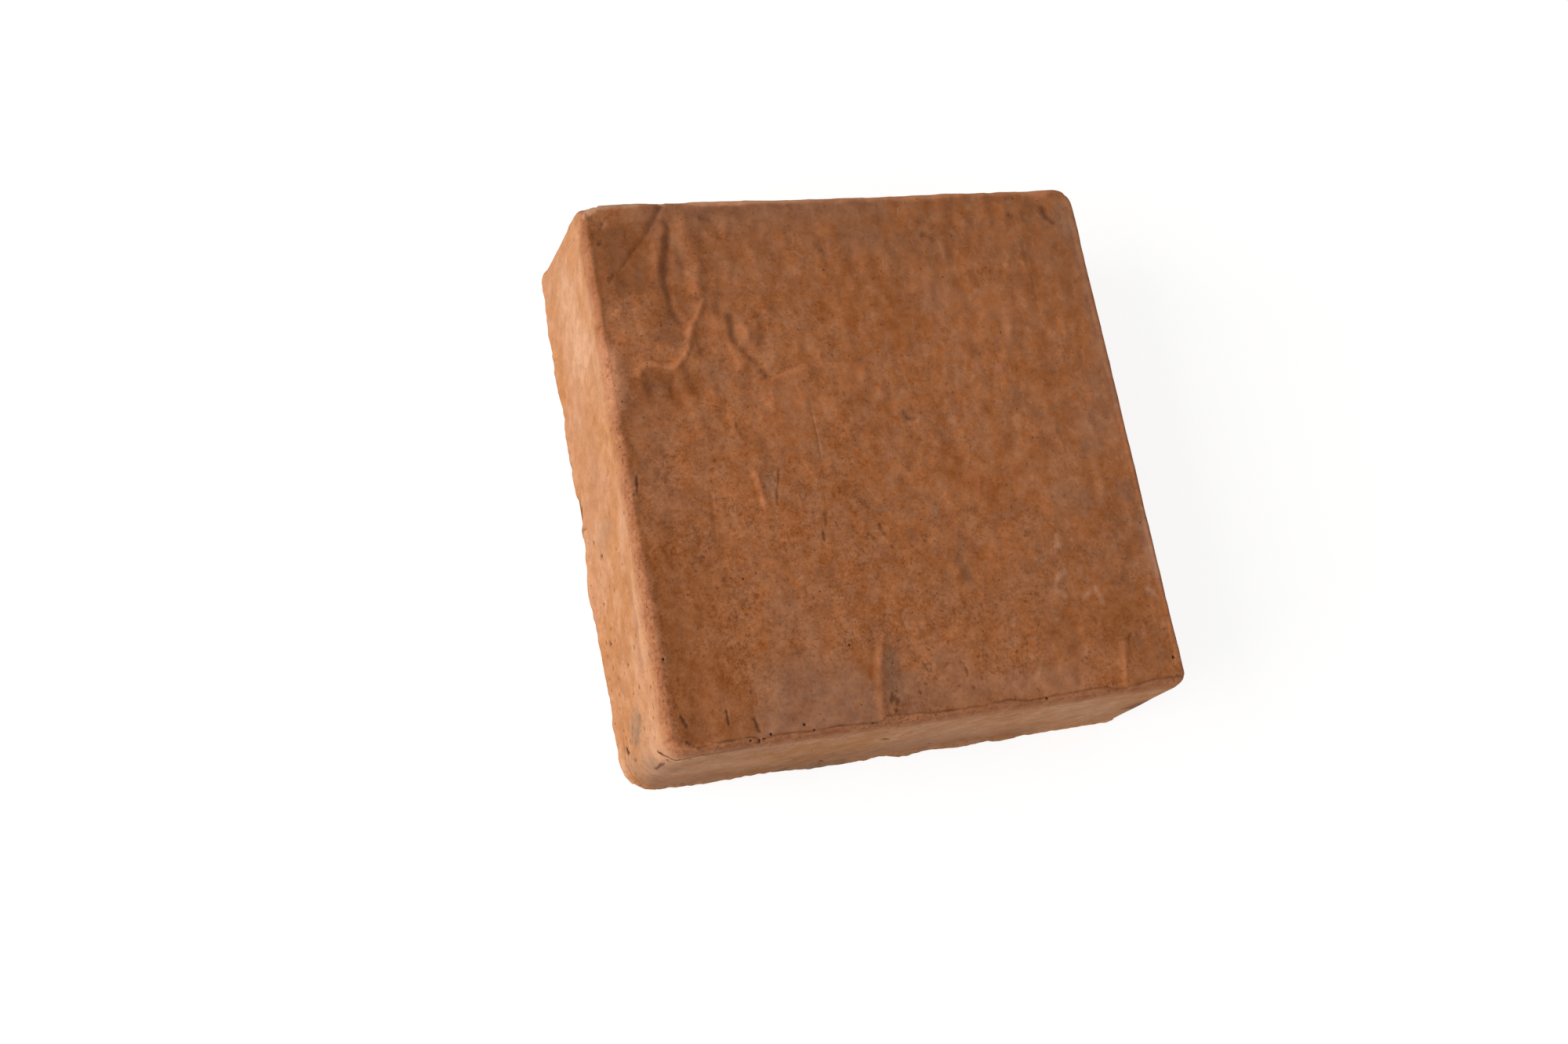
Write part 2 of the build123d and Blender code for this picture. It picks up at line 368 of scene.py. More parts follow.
onFace(3, (-79, -26), (-78.5, -44), (-80, -62), rust=0.5, dark=0.1)
onFace(2.2, (-72, -30), (-71, -48), (-72, -64), rust=0.4, wear=0.15)
onFace(2.2, (-36.5, -47), (-36, -60), (-35.6, -72), rust=0.7, wear=0.15)
onFace(3, (-26, -69), (-25, -82), rust=0.7, taper=0.4)
onFace(19, (-61, -92), (-54, -82), (-40, -82), (-28, -88), bloom=0.9, dark=0.08, taper=0)
onFace(10, (-61, -96), (-50, -93), (-28, -94), bloom=1, soft=0.6, taper=0)
onFace(6, (-54, -88), (-56, -94), dark=0.12, bloom=0.5)
onFace(8, (-9, -80), (-9, -96), bloom=0.8, taper=0.1)
onFace(9, (-8, -90), (30, -90), (56, -91), bloom=0.7, soft=0.9, taper=0.15)
onFace(6, (-60, 54), (-56, 42), (-48, 34), wear=0.55, taper=0.1)
onFace(24, (-80, -36), (-78, -94), dark=0.15, rust=0.3, taper=0)
onFace(16, (62, -74), (84, -66), rust=0.9, dark=0.07)
onFace(1.9, (2, -93.4), (2.8, -98.4), rust=1, dark=0.3)
onFace(0.9, (-91.8, -85), (-90.4, -87.3), (-89.4, -89.8), rise=-0.4, dark=0.8, soft=0.7)
onFace(1.1, (-91.2, -93.4), (-90, -95), (-88, -96), rise=-0.5, dark=0.85, soft=0.6)
onFace(1.1, (-66.8, -88.6), (-66.2, -91.4), (-65.4, -94.4), rise=-0.5, dark=0.7, rust=0.6)

# The strip between border and arris: pale along the far edge with a painted highlight, where the roll
# turns away from the lamp, darker on the left and near left, and bevelled off where it is widest
onEdge(2.2, (-96, 93, 58.8), (-92, 96, 59), (-86, 96.8, 59.6), (-60, 96.8, 59.8), pale=0.6, cream=0.3,
       soft=0.8, taper=0.1)
onEdge(2.8, (-64, 97.4, 59.4), (-38, 97, 59.8), (-4, 97.4, 59.4), cream=0.75, wear=0.4, soft=0.6,
       taper=0.2)
onEdge(3, (-12, 97.2, 59.4), (30, 96.8, 59.6), (88, 96.8, 59.4), wear=0.6, pale=0.4, soft=0.8, taper=0.1)
# A painted highlight along the right arris, which lies in shade, in part a worn edge
onEdge(1.2, (97.6, 86, 58.8), (97.6, 0, 58.8), (97.4, -90, 58.6), wear=0.5, soft=0.8, taper=0.05)
onEdge(2, (98.4, 86, 57), (98.4, 0, 57), (98.2, -90, 56.8), wear=0.5, cream=0.25, taper=0.05)
onEdge(2.6, (-96, -90, 59.2), (-95.6, -20, 59.6), (-95.6, 90, 59.4), dark=0.08, soft=0.8, taper=0)
onEdge(4, (-92, -96.4, 58.4), (-50, -96.2, 58.6), (-16, -96.2, 58.8), dark=0.08, soft=0.8, taper=0.1)
onEdge(6, (-97.8, 18, 59), (-97.2, 49, 59.6), rise=-1.2, wear=0.25, pale=0.35, soft=0.7)
onEdge(8, (-97, 96, 40), (-96.4, 95.4, 56), rise=0.3)

# Left side: cream, orange and grey areas, the grey smear, the bevelled strip's colour, and nicks darkened
# with painted shade
onLeft(18, (86, 24), (64, 32), (44, 38), cream=0.65, soft=0.8, taper=0.1)
onLeft(12, (4, 32), (-24, 14), cream=0.3)
onLeft(17, (34, 26), (-4, 26), rust=0.22, soft=0.9, taper=0.1)
onLeft(10, (-12, 40), (-14, 16), smear=0.22, soft=0.9)
onLeft(13, (-46, 30), (-62, 22), rust=0.25)
onLeft(2.8, (-79, 34), (-82, 30.5), (-84.6, 27.4), (-86.4, 23.6), (-86.4, 19.6), smear=0.7, dark=0.12,
       taper=0.2)
onLeft(1.4, (-77.5, 24), (-81.5, 22), (-85.5, 18.5), smear=0.8, taper=0.3)
onLeft(1.3, (-84, 16), (-86, 19), smear=0.9, dark=0.25, taper=0.3)
onLeft(9, (-76, 32), (-88, 21), smear=0.45)
onLeft(1, (-86, 10.2), (-88, 11), rise=-0.8, dark=1, soft=0.4, taper=0)
onLeft(8, (92, 51), (60, 51), (30, 52), cream=0.2, taper=0.1)
onLeft(0.7, (-43.6, 15), (-45.2, 16.4), rise=-0.4, dark=0.7)
onLeft(3, (-52, 40), (-40, 50), cream=0.5)
onLeft(3.6, (-70, 47), (-50, 49), (-34, 50), cream=0.55)
onLeft(7, (-60, 12), (-68, 18), rust=0.3)
onLeft(5, (-24, 46), (-70, 46), bloom=0.35, taper=0.1)
onLeft(3.2, (9, 0), (2, 1), (-6, 0), rise=-1.3, rust=0.6, dark=0.25, taper=0.3)
onLeft(1, (7.4, 2.6), (6.8, 1.8), dark=0.8, taper=0)
onLeft(0.9, (4.2, 3.4), (3.4, 2.8), dark=0.8, taper=0)
onLeft(1.1, (-0.6, 2.8), (-1.6, 2), dark=0.8, taper=0)
onLeft(0.8, (-4, 3.2), (-4.8, 2.6), dark=0.7, taper=0)

# Near side: small rust marks, blue-grey stains low down, brown shade by the right corner, painted shade to
# the left and low down, and painted light on the right
onNear(1.2, (-14.8, 36.4), (-10.2, 32), rise=-0.3, dark=0.8, rust=0.5)
onNear(1.5, (-29.2, 10.5), (-27.8, 5.5), rise=-0.4, dark=0.8, rust=0.6)
onNear(1.4, (12.6, 14), (14.2, 9.8), dark=0.45, rust=0.6)
onNear(9, (92, 36), (91, 22), rust=0.8, dark=0.45)
onNear(6, (-44, 2), (-30, 2), (-16, 2), smear=0.6, taper=0.2)
onNear(9, (-78, 10), (-62, 14), dark=0.2, rust=0.3)
# Painted shade, with some khaki dirt, darkening the near side to the left and low down; the cream on its
# right part is painted light
onNear(30, (-96, 6), (-30, 8), (60, 2), dark=0.27, rust=0.1, taper=0.1)
onNear(24, (-92, 40), (-60, 44), dark=0.1, taper=0)
onNear(26, (40, 38), (84, 34), cream=0.35, taper=0.1)

# The flake line under the rim at the near left corner, darkened with the painted shadow of the thin skin
# above it
onEdge(0.75, (-97.3, -93.4, 43.6), (-96.8, -94.4, 45), (-95.8, -95.7, 47.8), (-94.3, -97.1, 48.4),
       (-92.6, -98.1, 48.2), (-91.8, -98.2, 49.6), (-91, -98.3, 51.6), rise=-0.6, dark=1, soft=0.5,
       taper=0.15)
onEdge(1.25, (-93.2, -97.8, 48.2), (-91.6, -98.2, 50.2), (-88.1, -98.3, 52.4), (-85.4, -98.4, 53.8),
       (-81, -98.3, 54.4), (-76, -98.2, 54.8), rise=-0.7, dark=0.9, soft=0.7)
onEdge(0.6, (-77, -98.3, 54.8), (-71, -98.3, 55.2), (-66, -98.2, 56), rise=-0.15, dark=0.6)
onEdge(0.6, (-95.1, -96.7, 46), (-94.2, -97.4, 44.4), (-93.2, -98, 45.2), rise=-0.3, dark=0.7, soft=0.6)
onEdge(0.8, (-96.6, -94.4, 46.8), (-95.4, -96, 50), (-94.2, -97, 51.6), rise=0.2, pale=0.5)
onEdge(1.6, (-93, -98.2, 46), (-90, -98.5, 48.6), (-84, -98.6, 51.4), (-76, -98.5, 52.6), rise=0.35)
onEdge(0.9, (-95.1, -97.2, 28.6), (-95, -97.2, 35.4), (-94.7, -97.2, 41.4), dark=0.7, rust=0.5, soft=0.7)
onEdge(1, (-90.7, -99, 35.6), (-87.4, -99.1, 36), dark=0.35, rust=0.4)
onEdge(12, (-96.8, -96.6, 40), (-97.4, -97.2, 8), smear=0.4, taper=0.1)
onEdge(2, (-99, -80.6, 8.7), (-99.2, -88, 6.4), (-98.9, -91.9, 5.7), (-97.4, -95.4, 5.3),
       (-95.3, -97.8, 4.6), (-92.2, -99.5, 4.5), (-80, -100, 4.4), rise=-0.6, dark=0.36, taper=0.15)
onEdge(2.4, (-99.6, -84, 4), (-99.4, -91, 2), (-96.4, -97.2, 1), (-92, -100, 1), cream=0.7)

# Air holes: place along and up the side, radius
airHoles = {
    "left": [(-11.4, 11.2, 0.6), (-21.1, 37.1, 0.45), (-18.5, 17.9, 0.8), (-24.9, 29.2, 0.45),
             (-27.9, 41, 0.35), (-30.7, 22.3, 0.45), (-33.2, 27.5, 0.45), (-34.4, 11.3, 0.6),
             (-53.6, 43, 0.4),
             (-47.4, 7, 0.6), (-48.7, 11.1, 0.75), (-56.9, 39.2, 0.55), (-52, 5.7, 0.6), (-60.4, 28.5, 0.55),
             (-57.2, 10.1, 0.75), (-62, 22.8, 0.4), (-62, 14.3, 0.45), (-70, 36.9, 0.5), (-72.8, 49.9, 0.5),
             (-67.3, 12.2, 0.55), (-70.6, 29.3, 0.45), (-72.1, 10.6, 0.4), (-79.1, 32.2, 0.4),
             (-82.6, 46.8, 0.4), (-83.9, 35, 0.5), (-80, 10.5, 0.5), (-82.6, 12, 0.55), (-91.8, 17.8, 0.5),
             (-13.2, 52.6, 0.45)],
    "near": [(-94.9, 31.3, 0.45), (-61, 52.4, 0.5), (-33, 51, 0.45), (-5, 49, 0.4), (27, 43, 0.5),
             (58, 47, 0.45)],
    "face": [(-50, -93.6, 0.4), (-94.2, -66, 0.4), (-62, -95.2, 0.4), (-64.6, -96.6, 0.4), (-66.4, -97, 0.4),
             (-69.4, -96.4, 0.35), (-47, -96, 0.35), (-26, -96.6, 0.35), (40, -96.4, 0.45), (-62, -42, 0.3),
             (93, -88, 0.45), (-29, -69, 0.35)],
}
holeSet = {
    "depth": 1.3,       # for each millimetre of its radius
    "bottom": 0.8,      # radii from the middle to where its wall begins
    "end": 1.6,         # and to where it runs out
    "margin": 0.9,      # closer faces reach this much past it
    "fineReach": 1.5,   # and the closest ones this many radii
}

# Narrow marks that cut in get closer faces, and the narrowest ones the closest
markSet = {"narrow": 1.3, "reach": 1.2, "narrowest": 0.8, "fineReach": 0.8, "waver": 0.5}

# Strength of the fine grit: in the middle of the face, less of it per millimetre to the right
# and to the far side, and the share that is missing on the sides
gritSet = {"middle": 0.66, "perX": 0.0034, "perY": 0.0037, "sideLoss": 0.55}

# Fine relief: heights, and the sizes of what is drawn
reliefSet = {
    "swell": 0.34,
    "swellSize": 13.0,
    "ripple": 0.11,
    "rippleSize": 4.3,
    "crest": 0.7,
    "crestSize": 7.0,
    "crestFade": (-60, 30),    # crests fade between these places of Y, towards the near side,
    "crestLeft": 0.3,          # to this share
    "drawnFar": 0.5,           # the far half's relief is drawn out along Y to twice its length
    "drawnNear": 0.75,
    "calmReach": 6.0,          # the relief calms down this near the outline,
    "calmLeft": 0.25,          # to this share
    "grain": 0.035,
    "grainSize": 1.7,
    "sideSwell": 0.12,
    "sideSwellSize": 16.0,
    "sideGrain": 0.02,
}

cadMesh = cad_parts["paving_block"].data
cadTree = bvhtree.BVHTree.FromPolygons([vert.co for vert in cadMesh.vertices],
                                       [face.vertices for face in cadMesh.polygons])
halfX = cadHigh.x / millimetre
halfY = cadHigh.y / millimetre
rollStart = blockSet["meanLevel"] - blockSet["rollDown"]
layerNames = ["faceShare", "rim", "grit", "dark", "rust", "bloom", "smear", "wear", "pale", "cream"]
# The layers that stains and painted light and shade fill
stainAndPaintedLightNames = layerNames[3:]


def leanAt(height):
    return blockSet["draft"] * height / blockSet["meanLevel"]


# Radius of the nearest upright corner, where the side leans in this much
def radiusAt(x, y, lean):
    atBase, atTop = cornerRadii[(1 if x > 0 else -1, 1 if y > 0 else -1)]
    return atBase + (atTop - atBase) * lean / blockSet["draft"]


# Level of the CAD face near a place of the plan, averaged to lose its facets
def levelAt(x, y):
    lean = leanAt(blockSet["meanLevel"])
    radius = radiusAt(x, y, lean)
    core = Vector((clamp(x, halfX - lean - radius), clamp(y, halfY - lean - radius)))
    out = Vector((x, y)) - core
    furthest = radius - blockSet["levelInset"]
    if out.length > furthest:
        out = out.normalized() * furthest
    place = core + out
    levels = []
    for stepX, stepY in ((0, 0), (1, 0), (-1, 0), (0, 1), (0, -1)):
        x = clamp(place.x + stepX * blockSet["levelReach"], halfX - lean - blockSet["levelInset"])
        y = clamp(place.y + stepY * blockSet["levelReach"], halfY - lean - blockSet["levelInset"])
        above = Vector((x, y, 2 * blockSet["meanLevel"])) * millimetre
        hit = cadTree.ray_cast(above, Vector((0, 0, -1)))[0]
        levels.append(hit.z / millimetre)
    return sum(levels) / len(levels)


# Where a grid line lies, for a share from -1 to 1 across the block
def linePlace(share, half):
    columns = blockSet["columns"]
    index = round((share + 1) / 2 * columns)
    fromEdge = min(index, columns - index)
    fine = blockSet["fineColumns"]
    fineWidth = fine * blockSet["fineSpacing"]
    evenSpacing = (half - fineWidth) / (columns / 2 - fine)
    inset = min(fromEdge, fine) * blockSet["fineSpacing"] + max(0, fromEdge - fine) * evenSpacing
    return math.copysign(half - inset, index - columns / 2)


# Place on a rounded outline for a place on the square one. Shift moves it in or out.
def onOutline(x, y, lean, radius, shift=0.0):
    core = Vector((clamp(x, halfX - lean - radius), clamp(y, halfY - lean - radius)))
    out = Vector((x, y)) - core
    if out.length < 1e-6:
        return Vector((x, y))
    reach = max(abs(out.x), abs(out.y)) + shift
    return core + out.normalized() * reach


# Share of the roll that is missing at a place
def rollLossAt(x, y):
    right = smoothStep(*blockSet["lossRight"], x)
    far = smoothStep(*blockSet["lossFar"], y) * smoothStep(*blockSet["lossFromLeft"], x)
    return blockSet["rollLoss"] * max(right, far)


# Bends a unit grid into the block, and notes how far in from the arris each point lies
def shapeBlock(bm, insetLayer):
    rows = len(rowHeights) - 1
    levels = {}
    for vert in bm.verts:
        share = vert.co.copy()
        row = round((share.z + 0.5) * rows)
        onTop = row == rows
        height = rollStart if onTop else rowHeights[row]
        lean = leanAt(height)
        x = linePlace(2 * share.x, halfX - lean)
        y = linePlace(2 * share.y, halfY - lean)
        radius = radiusAt(x, y, lean)
        key = (round(share.x * blockSet["columns"]), round(share.y * blockSet["columns"]))
        if key not in levels:
            levels[key] = levelAt(x, y)
        level = levels[key]
        if not onTop:
            curl = max(0.0, blockSet["baseRadius"] - height)
            shift = math.sqrt(blockSet["baseRadius"] ** 2 - curl ** 2) - blockSet["baseRadius"]
            place = onOutline(x, y, lean, radius, shift)
            stretch = (level - blockSet["rollDown"]) / rollStart
            vert.co = (place.x, place.y, height * stretch)
            vert[insetLayer] = height - rollStart
            continue
        inset = min(halfX - lean - abs(x), halfY - lean - abs(y))
        turn = min(1.0, inset / blockSet["rollIn"]) * math.pi / 2
        loss = rollLossAt(x, y)
        power = 2 / (blockSet["rollFullness"] + loss)
        out = (1 - loss) * blockSet["rollIn"] * (math.cos(turn) ** power)
        up = blockSet["rollDown"] * (math.sin(turn) ** power)
        shift = 0.0
        if inset < blockSet["rollIn"]:
            shift = inset + out - (1 - loss) * blockSet["rollIn"] - loss * inset
        place = onOutline(x, y, lean, radius, shift)
        vert.co = (place.x, place.y, level - blockSet["rollDown"] + up)
        vert[insetLayer] = inset


def sideOf(vert, inset):
    if inset > 0.0:
        return "face"
    gaps = {"left": vert.co.x + halfX, "right": halfX - vert.co.x,
            "near": vert.co.y + halfY, "far": halfY - vert.co.y}
    return min(gaps, key=gaps.get)


def sidePoint(side, place):
    if side == "edge":
        return place
    lean = leanAt(place[1])
    if side == "left":
        return Vector((lean - halfX, place[0], place[1]))
    if side == "near":
        return Vector((place[0], lean - halfY, place[1]))
    return Vector((place[0], place[1], levelAt(place[0], place[1])))


# More faces round spots, each a point and its reach
def refineNear(bm, spots, cuts):
    tree = kdtree.KDTree(len(spots))
    for index, (spot, _) in enumerate(spots):
        tree.insert(spot, index)
    tree.balance()
    chosen = []
    for edge in bm.edges:
        middle = (edge.verts[0].co + edge.verts[1].co) / 2
        _, index, distance = tree.find(middle)
        if distance < spots[index][1]:
            chosen.append(edge)
    bmesh.ops.subdivide_edges(bm, edges=chosen, cuts=cuts, use_grid_fill=True)


def refineBlock(bm):
    spots, fineSpots = [], []
    for side, holes in airHoles.items():
        for along, height, radius in holes:
            point = sidePoint(side, (along, height))
            spots.append((point, radius + holeSet["margin"]))
            fineSpots.append((point, radius * holeSet["fineReach"]))
    for mark in strokes:
        if mark["width"] >= markSet["narrow"] or mark["rise"] >= 0:
            continue
        for first, second in zip(mark["path"], mark["path"][1:]):
            count = max(1, math.ceil((second - first).length))
            for step in range(count + 1):
                point = sidePoint(mark["side"], first.lerp(second, step / count))
                spots.append((point, markSet["reach"]))
                if mark["width"] < markSet["narrowest"]:
                    fineSpots.append((point, markSet["fineReach"]))
    refineNear(bm, spots, 2)
    refineNear(bm, fineSpots, 1)


# How far a place is moved, so that drawn marks come out ragged
def raggedShift(co):
    return 0.9 * noise.noise_vector(co / 4.5) + 0.3 * noise.noise_vector(co / 1.3)


# Distance of a place from a path, and how far along the path its nearest point is (0 to 1)
def onPath(path, place):
    best, bestShare = 1e9, 0.0
    for index, (first, second) in enumerate(zip(path, path[1:])):
        way = second - first
        share = min(1.0, max(0.0, (place - first).dot(way) / way.length_squared))
        gap = (place - first - share * way).length
        if gap < best:
            best, bestShare = gap, (index + share) / (len(path) - 1)
    return best, bestShare


# How far a place is inside the riven face, how far down its step, and how near its border (0 to 1)
def faceShare(x, y):
    share, step, line = 1.0, 1.0, 0.0
    width = blockSet["rimStepWidth"]
    wobble = 0.3 * noise.noise(Vector((x, y, 0)) / 3.1) + 0.2 * noise.noise(Vector((x, y, 5)) / 1.1)
    for side, gap, along in (("left", x + halfX, y), ("right", halfX - x, y),
                             ("near", y + halfY, x), ("far", halfY - y, x)):
        border = alongTable(rimInsets[side], along) + blockSet["draft"] + wobble
        share = min(share, smoothStep(border, border + width, gap))
        step = min(step, smoothStep(border, border + width * borderSpreads[side], gap))
        away = (gap - border - 0.4 * width) / blockSet["rimLineWidth"]
        line = max(line, borderLines[side] * math.exp(-away * away))
    line *= smoothStep(0.0, 0.3, share + 0.15) * (0.7 + 0.6 * noise.noise(Vector((x, y, 7)) / 4.0))
    return share, step, line


def faceRelief(co, inset, down, line):
    drawn = co.copy()
    drawn.y *= reliefSet["drawnFar"] if co.y > 0 else reliefSet["drawnNear"]
    relief = reliefSet["swell"] * noise.fractal(drawn / reliefSet["swellSize"], 0.6, 2.1, 4)
    relief += reliefSet["ripple"] * noise.fractal(co / reliefSet["rippleSize"], 0.7, 2.0, 3)
    crests = 0.5 - abs(noise.noise(drawn / reliefSet["crestSize"])) - 0.2 * abs(noise.noise(co / 4.0))
    left = reliefSet["crestLeft"]
    relief += reliefSet["crest"] * crests * (left + (1 - left) * smoothStep(*reliefSet["crestFade"], co.y))
    left = reliefSet["calmLeft"]
    relief *= left + (1 - left) * smoothStep(0.0, reliefSet["calmReach"], inset)
    relief += reliefSet["grain"] * noise.noise(co / reliefSet["grainSize"])
    return relief - blockSet["rimStep"] * down - blockSet["rimLine"] * line


def sideRelief(co, side):
    grain = noise.noise(co / reliefSet["grainSize"])
    relief = reliefSet["sideSwell"] * noise.fractal(co / reliefSet["sideSwellSize"], 0.8, 2.0, 3)
    relief += reliefSet["sideGrain"] * grain
    line = (co.z - blockSet["lipHeight"] - 0.5 * noise.noise(co / 11.0)) / blockSet["lipWidth"]
    relief -= blockSet["lipDepth"] * math.exp(-line * line) * (0.6 + 0.6 * noise.noise(co / 7.0))
    below = 1.0 - smoothStep(blockSet["lipHeight"] - blockSet["lipSlope"], blockSet["lipHeight"], co.z)
    along = co.y if side in ("left", "right") else co.x
    return relief + below * (alongTable(lipOuts[side], along) + 0.3 * noise.noise(co / 2.2) + 0.15 * grain)


def isUpright(edge):
    return abs(edge.verts[0].co.z - edge.verts[1].co.z) > 0.5


# A unit cube with even columns and rows of faces, and one face for the back
def makeGrid(bm):
    bmesh.ops.create_cube(bm, size=1.0)
    flat = [edge for edge in bm.edges if not isUpright(edge)]
    bmesh.ops.subdivide_edges(bm, edges=flat, cuts=blockSet["columns"] - 1, use_grid_fill=True)
    upright = [edge for edge in bm.edges if isUpright(edge)]
    bmesh.ops.subdivide_edges(bm, edges=upright, cuts=len(rowHeights) - 2, use_grid_fill=True)
    back = [face for face in bm.faces if max(vert.co.z for vert in face.verts) < -0.499]
    bmesh.ops.dissolve_faces(bm, faces=back)


# Fills the plain layers. Gives how far each point rises, and each side's points with their
# place in its own coordinates and their ragged shift.
def readPoints(bm, insetLayer, layers):
    rises = {}
    sides = {side: [] for side in sideAxes}
    for vert in bm.verts:
        inset = vert[insetLayer]
        side = sideOf(vert, inset)
        share, line = 0.0, 0.0
        if side == "face":
            share, down, line = faceShare(vert.co.x, vert.co.y)
            rises[vert] = faceRelief(vert.co, inset, down, line)
        else:
            rises[vert] = sideRelief(vert.co, side)
        rim = smoothStep(-0.8, 1.6, inset)
        grit = gritSet["middle"] - gritSet["perX"] * vert.co.x - gritSet["perY"] * vert.co.y
        vert[layers["faceShare"]] = share
        vert[layers["rim"]] = rim
        # Painted shade in the crevice along the border
        vert[layers["dark"]] = blockSet["rimLineShade"] * line
        vert[layers["grit"]] = grit * (1.0 - gritSet["sideLoss"] * (1.0 - max(share, rim)))
        shift = raggedShift(vert.co)
        for name in (side, "edge"):
            axes = sideAxes[name]
            sides[name].append((vert, Vector([vert.co[axis] for axis in axes]),
                                Vector([shift[axis] for axis in axes])))
    return rises, sides


def layStroke(mark, points, layers, rises):
    width, path, taper = mark["width"], mark["path"], mark["taper"]
    reach = width + markSet["reach"]
    lowU, highU = min(place[0] for place in path) - reach, max(place[0] for place in path) + reach
    lowV, highV = min(place[1] for place in path) - reach, max(place[1] for place in path) + reach
    loose = min(1.0, 0.2 + width / 4)
    for vert, place, shift in points:
        if not (lowU < place[0] < highU and lowV < place[1] < highV):
            continue
        gap, share = onPath(path, place + loose * shift)
        ends = 1.0
        if taper > 0:
            ends = smoothStep(0, taper, share) * (1 - smoothStep(1 - taper, 1, share))
        waver = 1 + markSet["waver"] * noise.noise(Vector((8 * share, lowU, lowV)))
        here = width * (0.45 + 0.55 * ends) * waver
        if gap >= here:
            continue
        rises[vert] += mark["rise"] * ends * waver * (1 - (gap / here) ** 2) ** 2
        cover = (1 - smoothStep(here * (1 - mark["soft"]), here, gap)) * (0.3 + 0.7 * ends)
        for name, amount in mark["layers"].items():
            if mark["side"] == "face":
                amount *= vert[layers["faceShare"]]
            vert[layers[name]] = max(vert[layers[name]], amount * cover)


def cutHoles(holes, points, layers, rises):
    for vert, place, _ in points:
        for along, height, radius in holes:
            gap = math.hypot(place[0] - along, place[1] - height) / radius
            if gap < holeSet["end"]:
                bowl = 1 - smoothStep(holeSet["bottom"], holeSet["end"], gap)
                rises[vert] -= bowl * radius * holeSet["depth"]
                # The hole is darkened with painted shade
                vert[layers["dark"]] = max(vert[layers["dark"]], bowl)


# A plain ring inside the back's outline, so that no stain or painted light and shade of the base runs across
# the back
def ringBack(bm, layers):
    back = max(bm.faces, key=lambda face: len(face.verts))
    for made in bmesh.ops.extrude_face_region(bm, geom=[back])["geom"]:
        if isinstance(made, bmesh.types.BMVert):
            made.co.xy = made.co.xy * blockSet["backRing"]
            for name in stainAndPaintedLightNames:
                made[layers[name]] = 0.0
    bmesh.ops.delete(bm, geom=[back], context="FACES_ONLY")


def makeBlock():
    bm = bmesh.new()
    makeGrid(bm)
    print("grid made:", len(bm.verts), "points")

    insetLayer = bm.verts.layers.float.new("arrisInset")
    shapeBlock(bm, insetLayer)
    surface = bvhtree.BVHTree.FromBMesh(bm)
    for mark in strokes:
        if mark["side"] == "edge":
            mark["path"] = [surface.find_nearest(point)[0] for point in mark["path"]]
    refineBlock(bm)
    bm.normal_update()
    print("form shaped and refined:", len(bm.verts), "points")

    layers = {name: bm.verts.layers.float.new(name) for name in layerNames}
    rises, sides = readPoints(bm, insetLayer, layers)
    for mark in strokes:
        layStroke(mark, sides[mark["side"]], layers, rises)
    for side, holes in airHoles.items():
        cutHoles(holes, sides[side], layers, rises)
    for vert in bm.verts:
        if vert.co.z > blockSet["flatBase"]:
            outward = vert.normal.copy()
            outward.z *= smoothStep(*blockSet["levelBase"], vert.co.z)
            vert.co += outward * rises[vert]
    ringBack(bm, layers)
    bmesh.ops.scale(bm, vec=Vector((millimetre,) * 3), verts=bm.verts)
    bm.normal_update()
    for face in bm.faces:
        face.smooth = face.normal.z > -0.98
    mesh = bpy.data.meshes.new("rivenBlock")
    bm.to_mesh(mesh)
    bm.free()
    return addObject("rivenBlock", mesh)


block = makeBlock()
print("block made:", sum(len(face.vertices) - 2 for face in block.data.polygons), "triangles")
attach(block, "root")
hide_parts("paving_block")


# A colour from its everyday red, green and blue, 0 to 255
def colour(red, green, blue):
    channels = [value / 255 for value in (red, green, blue)]
    linear = [value / 12.92 if value < 0.04045 else ((value + 0.055) / 1.055) ** 2.4 for value in channels]
    return linear + [1.0]


concreteSet = {
    "faceGrey": colour(162, 103, 65),
    "faceOrange": colour(167, 101, 56),
    "fleck": colour(140, 82, 44),
    "chip": colour(174, 120, 88),
    "side": colour(197, 143, 106),
    "sideDeep": colour(189, 130, 84),
    "sidePale": colour(208, 158, 124),
    "rim": colour(163, 104, 68),
    "rust": colour(152, 88, 42),
    "bloom": colour(154, 106, 78),
    "smear": colour(138, 112, 92),
    # Lighter colour of worn places, also laid as painted highlights on ridge tops and arrises
    "wear": colour(196, 124, 80),
    # pale and cream are also laid as painted light along the far and right arrises and on the near side
    "pale": colour(200, 150, 120),
    "cream": colour(212, 164, 130),
    "tan": colour(147, 111, 84),
    "speck": colour(96, 50, 24),
    "dark": colour(82, 48, 28),
    "roughness": 0.86,
    "specular": 0.28,
    "drawnOut": 0.62,              # scale along Y of what is drawn out along the block
    "elsewhere": (310, 170, 90),   # step to another part of the noises
    "bloomCalms": 0.6,             # share of the grain that bloom takes away
    "rustCalms": 0.4,
    "stainPull": 0.14,             # how far rust and bloom push the face's tone
    "pinholeScale": 0.28,
    "pinholeShade": 0.75,
    "bump": 0.0002,                # metres
}

